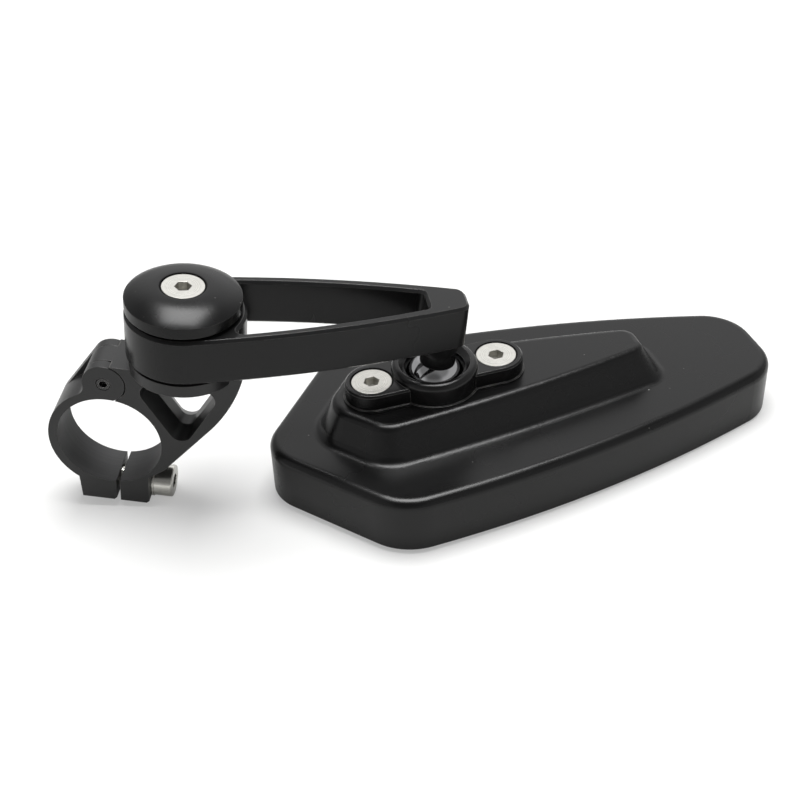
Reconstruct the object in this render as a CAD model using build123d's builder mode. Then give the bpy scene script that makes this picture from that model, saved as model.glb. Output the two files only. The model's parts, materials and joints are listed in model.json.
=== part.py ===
"""Bar end mirror: a hinged handlebar clamp, a swinging arm, a ball joint and a mirror head.

Millimetres. The origin is the centre of the clamp bore, +Y runs along the handlebar and +Z is up.
The head lies face down on a table. Clamp and arm lean about the bore axis, as the ball joint lets them.
"""

import os
from math import acos, atan2, cos, radians, sin, sqrt

from build123d import *

os.makedirs("parts", exist_ok=True)

# Clearances
RUN_GAP = 0.05  # radial gap of a pin, bush, shank or ball that turns
FACE_GAP = 0.05  # gap between flat faces that turn on each other
SEAT_GAP = 0.02  # radial gap of a piece that is pushed home
KNUCKLE_GAP = 0.25  # gap round a hinge knuckle
TONGUE_GAP = 0.15  # gap on each side of the hinge tongue
GLASS_GAP = 0.3  # gap round the edge of the glass
NEAR = 0.001  # how close a corner must lie to be taken as the one meant

# Clamp, in its own upright frame: x across, z up from the bore centre
LEAN = 6.5  # degrees that clamp and arm lean about the bore axis
BORE_R = 11.1  # 22.2 mm handlebar
RING_WALL = 1.9
RING_LEN = 10.0
SPLIT_X = 0.9  # jaw side of the split
SPLIT_GAP = 0.8
HINGE_X = -0.5
HINGE_Z = 15.0
KNUCKLE_R = 4.4
KNUCKLE_BLEND = 2.6  # hollow between the jaw's ring and its knuckles
FORK_ROOM = 1.2  # jaw fork past the knuckle
TONGUE_W = 5.2
TONGUE_ROOT = 0.5  # tongue past the knuckle, into the web
PIN_R = 1.5
PIN_KEY = 1.6  # across flats
PIN_KEY_DEPTH = 1.5
PIN_EDGE = 0.2
EAR_DROP = 5.3  # ear bottom below the bore wall
EAR_LEFT = -6.6
EAR_RIGHT = 8.0
EAR_LEAN = 0.5  # how far the jaw ear spreads at its top
EAR_BEVEL = 0.6
HEAD_RELIEF = 0.9  # room over the clamp screw head

# Clamp screw, a socket head cap screw
CLAMP_SCREW_R = 2.0
CLAMP_HEAD_R = 3.5
CLAMP_HEAD_H = 4.0
CLAMP_KEY = 3.0
CLAMP_KEY_DEPTH = 2.2
HEAD_EDGE = 0.3
CLAMP_SCREW_COVER = 0.45  # metal between the bore and the screw hole
CLAMP_SCREW_HOLE_GAP = 0.35
CLAMP_WASHER_H = 0.5
CLAMP_WASHER_R = 3.7
SCREW_END_COVER = 0.8  # jaw wall beyond the screw hole
CLAMP_TIP_ROOM = 0.9  # hole beyond the screw tip, for the jaw to close

# Bracket web between the ring and the arm pivot
PIVOT_X = 15.4
TURRET_R = 11.3
TURRET_H = 2.7
TURRET_TOP = 21.7
FLARE_H = 2.6  # cone under the turret
FLARE_IN = 5.2  # how far the cone draws in
WEB_EDGE_OUT = 3.5  # lower end of the web edge beyond the ear seat
WEB_EDGE_UP = 2.7
WEB_KNEE = (21.0, 5.5)  # where the web edge starts to curve up
WEB_EDGE_BOW = 0.95
WEB_TOP_X = 28.2
POCKET_DEPTH = 3.4
POCKET_TOP = 16.2
POCKET_LEFT = 4.9
POCKET_RIGHT = 24.3
POCKET_LOW = (15.4, 0.0)
POCKET_R = 2.5
WINDOW_LEFT = 6.9
WINDOW_RIGHT = 23.8
WINDOW_LOW = (15.9, 2.6)
WINDOW_R = 1.9

# Arm pivot stack
PIVOT_WASHER_H = 0.4
PIVOT_WASHER_R = 10.7
BUSH_R = 5.0
CAP_R = 11.7
CAP_RIM_H = 2.6
CAP_H = 5.0
CAP_BULGE = 0.55  # rise of the dome over a straight cone
CAP_LAND = 0.55  # flat ring round the screw head
CAP_EDGE = 0.4

# Countersunk screws of the pivot and of the ball socket
FLAT_SCREW_R = 2.5
FLAT_HEAD_R = 4.3
FLAT_HEAD_LIP = 0.35
FLAT_KEY = 3.0
FLAT_KEY_DEPTH = 1.9
FLAT_SINK = 0.15  # head below the face round it
FLAT_CUT_OVER = 0.3  # cut above the head
SCREW_HOLE_GAP = 0.1
FLAT_HEAD_GAP = 0.22  # ring of room round a countersunk head
PIVOT_SCREW_GRIP = 4.2  # thread in the turret
SOCKET_SCREW_GRIP = 5.6  # thread in the housing
TIP_ROOM = 0.4  # hole beyond a screw tip

# Arm, in its own plan: s from the pivot to the ball, w across
ARM_YAW = 15.5  # degrees, seen from above
ARM_REACH = 53.0
ARM_THICK = 10.4
HUB_R = 11.8
NOSE_BEYOND = 4.9  # nose past the ball axis
NOSE_HALF = 3.5
NOSE_CORNER = 2.4
ARM_BOW = 1.65
RAIL = 1.8
WINDOW_HUB_WALL = 0.8
NOSE_WALL = 8.6  # solid arm between the window and the nose end
ARM_WINDOW_CORNER = 1.1
ARM_WINDOW_BOW = 0.9
WINDOW_END_HALF = 2.9
ARM_EDGE = 0.6

# Ball joint
BALL_R = 7.0
BALL_DROP = 11.2  # ball centre below the arm
STUB_R = 3.8
HAUNCH = (5.7, 4.6)  # half length and half width of the stub's spread under the nose
HAUNCH_BACK = 1.1  # spread towards the hub
HAUNCH_DROP = 2.6
SHANK_R = 3.0
SHANK_LEN = 11.0
LINER_WALL = 0.75
LINER_TOP = 3.2  # above the ball centre
LINER_BOTTOM = -5.6
LINER_SLIT = 1.2
COLLAR_R = 9.3
COLLAR_H = 5.6
COLLAR_EDGE = 1.4
COLLAR_MOUTH = 1.2
EAR_PITCH = 28.0
EAR_R = 5.8
EAR_H = 3.9
PLATE_EDGE = 0.4
PLATE_LIP = 0.35  # thin foot round the plate
PLATE_LIP_H = 0.45

# Mirror head, in plan from the ball axis: u along the head, v across
HEAD_YAW = 22.84
BALL_HEIGHT = 20.4  # ball centre and plateau above the table
RIM_H = 12.9
RIM_EDGE = 2.0
FOOT_EDGE = 0.7
HOUSING = dict(tip=-39.8, shoulder=-16.9, half=28.4, end=78.0, end_half=11.0, bow=4.0)
HOUSING_R = dict(r_tip=10.0, r_shoulder=13.0, r_end=11.0)
STEP_FOOT = dict(tip=-28.4, shoulder=-15.8, half=15.5, end=51.7, end_half=6.8, bow=1.2)
STEP_FOOT_R = dict(r_tip=9.0, r_shoulder=9.0, r_end=4.5)
STEP_TOP = dict(tip=-24.4, shoulder=-14.8, half=11.9, end=47.3, end_half=3.9, bow=1.5)
STEP_TOP_R = dict(r_tip=7.0, r_shoulder=6.5, r_end=3.2)
STEP_EDGE = 2.0
STEP_ROOT = 2.4
RIM_WALL = 1.6
DECK_WALL = 2.0
GLASS_SINK = 0.4
GLASS_H = 1.9
PAD_H = 0.8
PAD_INSET = 0.5
SHELF_W = 2.2  # ledge that the pad is stuck to
CUP_BOSS_R = 9.5
CUP_BOSS_H = 2.5

# Frames
lean = radians(LEAN)
upright = Plane((0, 0, 0), x_dir=(cos(lean), 0, -sin(lean)), z_dir=(sin(lean), 0, cos(lean)))
side = Plane((0, 0, 0), x_dir=upright.x_dir, z_dir=(0, -1, 0))
yaw = radians(ARM_YAW)
arm_along = upright.x_dir * cos(yaw) + upright.y_dir * sin(yaw)

RING_R = BORE_R + RING_WALL
SPLIT_RIGHT = SPLIT_X + SPLIT_GAP
EAR_BOTTOM = -(BORE_R + EAR_DROP)
CLAMP_SCREW_Z = -(BORE_R + CLAMP_SCREW_COVER + CLAMP_SCREW_R)
ARM_BOTTOM = TURRET_TOP + PIVOT_WASHER_H + 2 * FACE_GAP
ARM_TOP = ARM_BOTTOM + ARM_THICK
CAP_BOTTOM = ARM_TOP + PIVOT_WASHER_H + 2 * FACE_GAP
CAP_TOP = CAP_BOTTOM + CAP_H
CAVITY_R = BALL_R + RUN_GAP + LINER_WALL + RUN_GAP  # ball, liner and a gap on each side of it
BALL_FLAT = sqrt(BALL_R**2 - STUB_R**2)

ball = upright.from_local_coords(
    (PIVOT_X + ARM_REACH * cos(yaw), ARM_REACH * sin(yaw), ARM_BOTTOM - BALL_DROP)
)
head_yaw = radians(HEAD_YAW)
table_z = ball.Z - BALL_HEIGHT


def pivot_plane(height):
    """Plane square to the pivot axis, at a height above the bore centre."""
    return Plane(
        upright.from_local_coords((PIVOT_X, 0, height)), x_dir=arm_along, z_dir=upright.z_dir
    )


def stud_plane(height):
    """Plane square to the ball stud, at a height above the ball centre."""
    return Plane(ball + upright.z_dir * height, x_dir=arm_along, z_dir=upright.z_dir)


def head_plane(height):
    """Level plane of the mirror head, at a height above the table, with its origin under the ball."""
    return Plane(
        (ball.X, ball.Y, table_z + height),
        x_dir=(cos(head_yaw), sin(head_yaw), 0),
        z_dir=(0, 0, 1),
    )


def ear_plane(x):
    """Plane square to the clamp screw, at x, facing away from the jaw."""
    return Plane(
        upright.from_local_coords((x, 0, CLAMP_SCREW_Z)), x_dir=(0, 1, 0), z_dir=upright.x_dir
    )


def triangle(plane, left, right, top, low, corner):
    """Rounded triangle with a level top edge."""
    with BuildSketch(plane) as outline:
        with BuildLine():
            Polyline((left, top), low, (right, top), close=True)
        make_face()
        fillet(outline.vertices(), corner)
    return outline.sketch


def coffin(plane, tip, shoulder, half, end, end_half, bow, r_tip, r_shoulder, r_end, inset=0):
    """Head outline: pointed tip, wide shoulders, bowed long sides and a narrow end."""
    middle = (shoulder + end) / 2
    middle_half = (half + end_half) / 2 + bow
    with BuildSketch(plane) as outline:
        with BuildLine():
            Line((tip, 0), (shoulder, half))
            ThreePointArc((shoulder, half), (middle, middle_half), (end, end_half))
            Line((end, end_half), (end, -end_half))
            ThreePointArc((end, -end_half), (middle, -middle_half), (shoulder, -half))
            Line((shoulder, -half), (tip, 0))
        make_face()
        corners = outline.vertices().sort_by(Axis.X)
        fillet(corners[:1], r_tip)
        corners = outline.vertices()
        fillet([v for v in corners if abs(v.X - shoulder) < NEAR], r_shoulder)
        corners = [v for v in outline.vertices() if abs(v.X - end) < NEAR]
        fillet([v for v in corners if abs(abs(v.Y) - end_half) < NEAR], r_end)
        if inset:
            offset(amount=-inset, mode=Mode.REPLACE)
    return outline.sketch


def ring_r(radius, height):
    """Radius of a sphere's circle at a height above its centre."""
    return sqrt(radius**2 - height**2)


def export(piece, name):
    """Names a finished piece and writes it."""
    piece.label = name
    export_step(piece, f"parts/{name}.step")


# Clamp bracket: half ring, hinge tongue, ear, pocketed web and the turret that the arm turns on
ear_seat_z = CLAMP_SCREW_Z + CLAMP_HEAD_R + HEAD_RELIEF
web_low = Vector(EAR_RIGHT + WEB_EDGE_OUT, ear_seat_z + WEB_EDGE_UP)
web_high = Vector(WEB_TOP_X, TURRET_TOP - TURRET_H / 2)
web_knee = Vector(*WEB_KNEE)
web_run = (web_high - web_knee).normalized()
web_middle = (web_knee + web_high) / 2 + Vector(web_run.Y, -web_run.X) * WEB_EDGE_BOW
with BuildPart() as clamp_bracket:
    with BuildSketch(side):
        with BuildLine():
            Polyline((HINGE_X, 0), (SPLIT_RIGHT, 0), (SPLIT_RIGHT, EAR_BOTTOM), (EAR_RIGHT, EAR_BOTTOM))
            Polyline((EAR_RIGHT, EAR_BOTTOM), (EAR_RIGHT, ear_seat_z), web_low, web_knee)
            ThreePointArc(web_knee, web_middle, web_high)
            Polyline(web_high, (HINGE_X, HINGE_Z + KNUCKLE_R), (HINGE_X, 0))
        make_face()
    extrude(amount=RING_LEN / 2, both=True)
    ear_edges = clamp_bracket.edges().filter_by(Axis.Y).group_by(Axis.Z)[0]
    chamfer(ear_edges, EAR_BEVEL)
    with BuildSketch(side):
        with Locations((HINGE_X, HINGE_Z)):
            Circle(KNUCKLE_R + KNUCKLE_GAP)
    extrude(amount=RING_LEN, both=True, mode=Mode.SUBTRACT)
    with BuildSketch(side):
        with Locations((HINGE_X, HINGE_Z)):
            Circle(KNUCKLE_R)
        with BuildLine():
            reach = KNUCKLE_R + TONGUE_ROOT
            Polyline(
                (HINGE_X, HINGE_Z + KNUCKLE_R),
                (HINGE_X + reach, HINGE_Z + KNUCKLE_R),
                (HINGE_X + reach, BORE_R),
                (HINGE_X, BORE_R),
                close=True,
            )
        make_face()
    extrude(amount=TONGUE_W / 2, both=True)
    with BuildSketch(pivot_plane(TURRET_TOP - TURRET_H)):
        Circle(TURRET_R)
    extrude(amount=TURRET_H)
    with BuildSketch(pivot_plane(TURRET_TOP - TURRET_H - FLARE_H)):
        Circle(TURRET_R - FLARE_IN)
    with BuildSketch(pivot_plane(TURRET_TOP - TURRET_H)):
        Circle(TURRET_R)
    loft(ruled=True)
    with BuildSketch(side):
        Circle(BORE_R)
        with Locations((HINGE_X, HINGE_Z)):
            Circle(PIN_R + SEAT_GAP)
    extrude(amount=RING_LEN, both=True, mode=Mode.SUBTRACT)
    for face_y in (-RING_LEN / 2, RING_LEN / 2):
        floor_y = face_y - POCKET_DEPTH * (1 if face_y > 0 else -1)
        mouth = triangle(
            Plane((0, face_y, 0), x_dir=upright.x_dir, z_dir=(0, -1, 0)),
            POCKET_LEFT,
            POCKET_RIGHT,
            POCKET_TOP,
            POCKET_LOW,
            POCKET_R,
        )
        floor = triangle(
            Plane((0, floor_y, 0), x_dir=upright.x_dir, z_dir=(0, -1, 0)),
            WINDOW_LEFT,
            WINDOW_RIGHT,
            POCKET_TOP,
            WINDOW_LOW,
            WINDOW_R,
        )
        loft([mouth.face(), floor.face()], ruled=True, mode=Mode.SUBTRACT)
    window = triangle(side, WINDOW_LEFT, WINDOW_RIGHT, POCKET_TOP, WINDOW_LOW, WINDOW_R)
    extrude(window, amount=RING_LEN / 2 - POCKET_DEPTH / 2, both=True, mode=Mode.SUBTRACT)
    with BuildSketch(ear_plane(EAR_RIGHT)):
        Circle(CLAMP_SCREW_R + CLAMP_SCREW_HOLE_GAP)
    extrude(amount=-(EAR_RIGHT - SPLIT_RIGHT), mode=Mode.SUBTRACT)
    with BuildSketch(pivot_plane(TURRET_TOP)):
        Circle(FLAT_SCREW_R + SCREW_HOLE_GAP)
    extrude(amount=-(PIVOT_SCREW_GRIP + TIP_ROOM), mode=Mode.SUBTRACT)
export(clamp_bracket.part, "clamp_bracket")

# Clamp jaw: the other half ring, with two hinge knuckles and the threaded ear
ear_top_x = EAR_LEFT - EAR_LEAN
hinge = Vector(HINGE_X, HINGE_Z)
flank = atan2(HINGE_Z, HINGE_X) + acos((RING_R - KNUCKLE_R) / hinge.length)
flank_out = Vector(cos(flank), sin(flank))  # square to the line that touches ring and knuckle
with BuildPart() as clamp_jaw:
    with BuildSketch(side) as jaw_side:
        Circle(RING_R)
        with Locations((RING_R + HINGE_X, RING_R)):
            Rectangle(2 * RING_R, 2 * RING_R, mode=Mode.SUBTRACT)
        with Locations((RING_R + SPLIT_X, -RING_R)):
            Rectangle(2 * RING_R, 2 * RING_R, mode=Mode.SUBTRACT)
        with Locations((HINGE_X, HINGE_Z)):
            Circle(KNUCKLE_R)
        with BuildLine():
            Polyline(
                (ear_top_x, -ring_r(RING_R, ear_top_x)),
                (EAR_LEFT, EAR_BOTTOM),
                (SPLIT_X, EAR_BOTTOM),
                (SPLIT_X, -BORE_R),
                close=True,
            )
        make_face()
        waist = jaw_side.vertices().filter_by(lambda v: v.X < HINGE_X - NEAR and v.Y > RING_R / 2)
        fillet(waist, KNUCKLE_BLEND)
    extrude(amount=RING_LEN / 2, both=True)
    with BuildSketch(Plane((0, RING_LEN / 2, 0), x_dir=upright.x_dir, z_dir=(0, -1, 0))):
        with BuildLine():
            Polyline(
                flank_out * RING_R,
                hinge + flank_out * KNUCKLE_R,
                hinge,
                (HINGE_X, BORE_R),
                close=True,
            )
        make_face()
    extrude(amount=RING_LEN / 2 - TONGUE_W / 2 - TONGUE_GAP)
    ear_edges = clamp_jaw.edges().filter_by(Axis.Y).group_by(Axis.Z)[0]
    chamfer(ear_edges, EAR_BEVEL)
    with BuildSketch(side):
        Circle(BORE_R)
        with Locations((HINGE_X, HINGE_Z)):
            Circle(PIN_R + RUN_GAP)
    extrude(amount=RING_LEN, both=True, mode=Mode.SUBTRACT)
    with BuildSketch(side):
        with Locations((HINGE_X, HINGE_Z)):
            Circle(KNUCKLE_R + FORK_ROOM)
    extrude(amount=TONGUE_W / 2 + TONGUE_GAP, both=True, mode=Mode.SUBTRACT)
    with BuildSketch(ear_plane(SPLIT_X)):
        Circle(CLAMP_SCREW_R + CLAMP_SCREW_HOLE_GAP)
    extrude(amount=-(SPLIT_X - EAR_LEFT - SCREW_END_COVER), mode=Mode.SUBTRACT)
export(clamp_jaw.part, "clamp_jaw")

# Hinge pin with a key socket in its near end
with BuildPart() as hinge_pin:
    with BuildSketch(Plane((0, -RING_LEN / 2, 0), x_dir=upright.x_dir, z_dir=(0, -1, 0))):
        with Locations((HINGE_X, HINGE_Z)):
            Circle(PIN_R)
    extrude(amount=-RING_LEN)
    chamfer(hinge_pin.edges().filter_by(GeomType.CIRCLE), PIN_EDGE)
    with BuildSketch(Plane((0, -RING_LEN / 2, 0), x_dir=upright.x_dir, z_dir=(0, -1, 0))):
        with Locations((HINGE_X, HINGE_Z)):
            RegularPolygon(PIN_KEY / 2, 6, major_radius=False)
    extrude(amount=-PIN_KEY_DEPTH, mode=Mode.SUBTRACT)
export(hinge_pin.part, "hinge_pin")

# Clamp screw and its washer, seated on the bracket ear
with BuildPart() as clamp_washer:
    with BuildSketch(ear_plane(EAR_RIGHT)):
        Circle(CLAMP_WASHER_R)
        Circle(CLAMP_SCREW_R + SCREW_HOLE_GAP, mode=Mode.SUBTRACT)
    extrude(amount=CLAMP_WASHER_H)
export(clamp_washer.part, "clamp_washer")

with BuildPart() as clamp_screw:
    with BuildSketch(ear_plane(EAR_RIGHT + CLAMP_WASHER_H)):
        Circle(CLAMP_HEAD_R)
    extrude(amount=CLAMP_HEAD_H)
    head_rim = clamp_screw.edges().filter_by(GeomType.CIRCLE).sort_by(Axis.X)[-1]
    fillet(head_rim, HEAD_EDGE)
    with BuildSketch(ear_plane(EAR_RIGHT + CLAMP_WASHER_H)):
        Circle(CLAMP_SCREW_R)
    extrude(amount=-(EAR_RIGHT + CLAMP_WASHER_H - EAR_LEFT - SCREW_END_COVER - CLAMP_TIP_ROOM))
    with BuildSketch(ear_plane(EAR_RIGHT + CLAMP_WASHER_H + CLAMP_HEAD_H)):
        RegularPolygon(CLAMP_KEY / 2, 6, major_radius=False)
    extrude(amount=-CLAMP_KEY_DEPTH, mode=Mode.SUBTRACT)
export(clamp_screw.part, "clamp_screw")

# Arm: hub, two bowed rails round a long window, blunt nose and the stub that holds the ball
nose_s = ARM_REACH + NOSE_BEYOND
rail_middle = (nose_s / 2, (HUB_R + NOSE_HALF) / 2 + ARM_BOW)
window_s = nose_s - NOSE_WALL
window_r = HUB_R + WINDOW_HUB_WALL
window_w = HUB_R - RAIL - WINDOW_HUB_WALL
window_hub_s = sqrt(window_r**2 - window_w**2)
window_middle = ((window_hub_s + window_s) / 2, (window_w + WINDOW_END_HALF) / 2 + ARM_WINDOW_BOW)
with BuildPart() as mirror_arm:
    with BuildSketch(pivot_plane(ARM_BOTTOM)) as plan:
        with BuildLine():
            ThreePointArc((0, HUB_R), (-HUB_R, 0), (0, -HUB_R))
            ThreePointArc((0, -HUB_R), (rail_middle[0], -rail_middle[1]), (nose_s, -NOSE_HALF))
            Line((nose_s, -NOSE_HALF), (nose_s, NOSE_HALF))
            ThreePointArc((nose_s, NOSE_HALF), rail_middle, (0, HUB_R))
        make_face()
        fillet(plan.vertices().group_by(Axis.X)[-1], NOSE_CORNER)
    extrude(amount=ARM_THICK)
    with BuildSketch(pivot_plane(ARM_BOTTOM)) as gap:
        with BuildLine():
            ThreePointArc((window_hub_s, window_w), (window_r, 0), (window_hub_s, -window_w))
            ThreePointArc(
                (window_hub_s, -window_w),
                (window_middle[0], -window_middle[1]),
                (window_s, -WINDOW_END_HALF),
            )
            Line((window_s, -WINDOW_END_HALF), (window_s, WINDOW_END_HALF))
            ThreePointArc((window_s, WINDOW_END_HALF), window_middle, (window_hub_s, window_w))
        make_face()
        fillet(gap.vertices(), ARM_WINDOW_CORNER)
    extrude(amount=ARM_THICK, mode=Mode.SUBTRACT)
    rims = mirror_arm.faces().filter_by(Plane(upright.origin, z_dir=upright.z_dir))
    chamfer(rims.edges(), ARM_EDGE)
    with BuildSketch(stud_plane(BALL_FLAT + FACE_GAP)):
        Circle(STUB_R)
    extrude(amount=BALL_DROP - BALL_FLAT - FACE_GAP + ARM_EDGE)
    with BuildSketch(stud_plane(BALL_DROP - HAUNCH_DROP)):
        Circle(STUB_R)
    with BuildSketch(stud_plane(BALL_DROP + ARM_EDGE)):
        with Locations((-HAUNCH_BACK, 0)):
            Ellipse(*HAUNCH)
    loft(ruled=True)
    with BuildSketch(stud_plane(BALL_FLAT)):
        Circle(SHANK_R + RUN_GAP)
    extrude(amount=SHANK_LEN + TIP_ROOM, mode=Mode.SUBTRACT)
    with BuildSketch(pivot_plane(ARM_BOTTOM)):
        Circle(BUSH_R + RUN_GAP)
    extrude(amount=ARM_THICK, mode=Mode.SUBTRACT)
export(mirror_arm.part, "mirror_arm")

# Pivot stack: friction washers above and below the hub, the bush that it turns on, cap and screw
for name, height in (
    ("lower_friction_washer", TURRET_TOP),
    ("upper_friction_washer", CAP_BOTTOM - PIVOT_WASHER_H),
):
    with BuildPart() as friction_washer:
        with BuildSketch(pivot_plane(height)):
            Circle(PIVOT_WASHER_R)
            Circle(BUSH_R + SEAT_GAP, mode=Mode.SUBTRACT)
        extrude(amount=PIVOT_WASHER_H)
    export(friction_washer.part, name)

with BuildPart() as pivot_bush:
    with BuildSketch(pivot_plane(TURRET_TOP)):
        Circle(BUSH_R)
        Circle(FLAT_SCREW_R + SCREW_HOLE_GAP, mode=Mode.SUBTRACT)
    extrude(amount=CAP_BOTTOM - TURRET_TOP)
export(pivot_bush.part, "pivot_bush")


def flat_screw(top, length):
    """Countersunk screw below a plane through the top of its head, with a key socket."""
    with BuildPart() as screw:
        with BuildSketch(Plane(top.origin, x_dir=top.x_dir, z_dir=-top.y_dir)):
            with BuildLine():
                Polyline(
                    (0, 0),
                    (FLAT_HEAD_R, 0),
                    (FLAT_HEAD_R, -FLAT_HEAD_LIP),
                    (FLAT_SCREW_R, -FLAT_HEAD_LIP - FLAT_HEAD_R + FLAT_SCREW_R),
                    (FLAT_SCREW_R, -length),
                    (0, -length),
                    close=True,
                )
            make_face()
        revolve(axis=Axis(top.origin, top.z_dir))
        with BuildSketch(top):
            RegularPolygon(FLAT_KEY / 2, 6, major_radius=False)
        extrude(amount=-FLAT_KEY_DEPTH, mode=Mode.SUBTRACT)
    return screw.part


def flat_screw_hole(top, length):
    """The room that a countersunk screw takes, wider by its clearance."""
    wide = FLAT_HEAD_R + FLAT_HEAD_GAP
    narrow = FLAT_SCREW_R + SCREW_HOLE_GAP
    with BuildPart() as hole:
        with BuildSketch(Plane(top.origin, x_dir=top.x_dir, z_dir=-top.y_dir)):
            with BuildLine():
                Polyline(
                    (0, FLAT_CUT_OVER),
                    (wide, FLAT_CUT_OVER),
                    (wide, -FLAT_HEAD_LIP),
                    (narrow, -FLAT_HEAD_LIP - wide + narrow),
                    (narrow, -length),
                    (0, -length),
                    close=True,
                )
            make_face()
        revolve(axis=Axis(top.origin, top.z_dir))
    return hole.part


pivot_screw_top = pivot_plane(CAP_TOP - FLAT_SINK)
pivot_screw_len = CAP_TOP - FLAT_SINK - TURRET_TOP + PIVOT_SCREW_GRIP
pivot_screw = flat_screw(pivot_screw_top, pivot_screw_len)
export(pivot_screw, "pivot_screw")

cap_section = Plane(pivot_plane(CAP_BOTTOM).origin, x_dir=arm_along, z_dir=-pivot_plane(0).y_dir)
land_r = FLAT_HEAD_R + FLAT_HEAD_GAP + CAP_LAND
dome_middle = ((CAP_R + land_r) / 2, (CAP_RIM_H + CAP_H) / 2 + CAP_BULGE)
pivot_cap_hole = flat_screw_hole(pivot_screw_top, pivot_screw_len)
with BuildPart() as pivot_cap:
    with BuildSketch(cap_section):
        with BuildLine():
            Polyline((0, CAP_H), (0, 0), (CAP_R - CAP_EDGE, 0), (CAP_R, CAP_EDGE), (CAP_R, CAP_RIM_H))
            ThreePointArc((CAP_R, CAP_RIM_H), dome_middle, (land_r, CAP_H))
            Line((land_r, CAP_H), (0, CAP_H))
        make_face()
    revolve(axis=Axis(cap_section.origin, upright.z_dir))
    add(pivot_cap_hole, mode=Mode.SUBTRACT)
export(pivot_cap.part, "pivot_cap")

# Ball stud: polished ball with a plain shank in the arm stub
stud_section = Plane(ball, x_dir=arm_along, z_dir=-stud_plane(0).y_dir)
with BuildPart() as ball_stud:
    with BuildSketch(stud_section):
        with BuildLine():
            Line((0, BALL_FLAT + SHANK_LEN), (0, -BALL_R))
            ThreePointArc((0, -BALL_R), (BALL_R, 0), (STUB_R, BALL_FLAT))
            Polyline(
                (STUB_R, BALL_FLAT),
                (SHANK_R, BALL_FLAT),
                (SHANK_R, BALL_FLAT + SHANK_LEN),
                (0, BALL_FLAT + SHANK_LEN),
            )
        make_face()
    revolve(axis=Axis(ball, upright.z_dir))
export(ball_stud.part, "ball_stud")

# Ball liner: slit spherical shell between the ball and its socket
liner_in = BALL_R + RUN_GAP
liner_out = liner_in + LINER_WALL
head_section = Plane(ball, x_dir=head_plane(0).x_dir, z_dir=-head_plane(0).y_dir)
head_axis = Axis(ball, (0, 0, 1))
with BuildPart() as ball_liner:
    with BuildSketch(head_section):
        with BuildLine():
            ThreePointArc(
                (ring_r(liner_out, LINER_BOTTOM), LINER_BOTTOM),
                (liner_out, 0),
                (ring_r(liner_out, LINER_TOP), LINER_TOP),
            )
            Line((ring_r(liner_out, LINER_TOP), LINER_TOP), (ring_r(liner_in, LINER_TOP), LINER_TOP))
            ThreePointArc(
                (ring_r(liner_in, LINER_TOP), LINER_TOP),
                (liner_in, 0),
                (ring_r(liner_in, LINER_BOTTOM), LINER_BOTTOM),
            )
            Line(
                (ring_r(liner_in, LINER_BOTTOM), LINER_BOTTOM),
                (ring_r(liner_out, LINER_BOTTOM), LINER_BOTTOM),
            )
        make_face()
    revolve(axis=head_axis)
    with BuildSketch(Plane(ball + Vector(0, 0, LINER_BOTTOM), x_dir=head_plane(0).x_dir, z_dir=(0, 0, 1))):
        with Locations((-liner_out, 0)):
            Rectangle(2 * liner_out, LINER_SLIT)
    extrude(amount=LINER_TOP - LINER_BOTTOM, mode=Mode.SUBTRACT)
export(ball_liner.part, "ball_liner")

# Socket plate: round collar over the ball, with an ear and a screw on each side
plateau = head_plane(BALL_HEIGHT)
screw_places = [plateau.from_local_coords((u, 0, 0)) for u in (-EAR_PITCH / 2, EAR_PITCH / 2)]
screw_tops = [
    Plane(place + Vector(0, 0, EAR_H - FLAT_SINK), x_dir=plateau.x_dir, z_dir=(0, 0, 1))
    for place in screw_places
]
socket_screw_len = EAR_H - FLAT_SINK + SOCKET_SCREW_GRIP
socket_holes = [flat_screw_hole(top, socket_screw_len + TIP_ROOM) for top in screw_tops]
with BuildPart() as socket_plate:
    with BuildSketch(plateau):
        SlotCenterToCenter(EAR_PITCH, 2 * EAR_R)
    extrude(amount=EAR_H)
    chamfer(socket_plate.faces().sort_by(Axis.Z)[-1].edges(), PLATE_EDGE)
    with BuildSketch(plateau):
        Circle(COLLAR_R)
    extrude(amount=COLLAR_H)
    fillet(socket_plate.faces().sort_by(Axis.Z)[-1].edges(), COLLAR_EDGE)
    with BuildSketch(plateau):
        SlotCenterToCenter(EAR_PITCH, 2 * (EAR_R + PLATE_LIP))
        Circle(COLLAR_R + PLATE_LIP)
    extrude(amount=PLATE_LIP_H)
    with BuildSketch(head_section):
        with BuildLine():
            mouth_r = ring_r(CAVITY_R, COLLAR_H - COLLAR_MOUTH)
            Line((0, 0), (CAVITY_R, 0))
            ThreePointArc(
                (CAVITY_R, 0),
                (ring_r(CAVITY_R, COLLAR_H / 2), COLLAR_H / 2),
                (mouth_r, COLLAR_H - COLLAR_MOUTH),
            )
            Polyline(
                (mouth_r, COLLAR_H - COLLAR_MOUTH),
                (mouth_r + COLLAR_MOUTH, COLLAR_H),
                (0, COLLAR_H),
                (0, 0),
            )
        make_face()
    revolve(axis=head_axis, mode=Mode.SUBTRACT)
    add(socket_holes, mode=Mode.SUBTRACT)
export(socket_plate.part, "socket_plate")

socket_screws = Compound(children=[flat_screw(top, socket_screw_len) for top in screw_tops])
export(socket_screws, "socket_screws")

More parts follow.
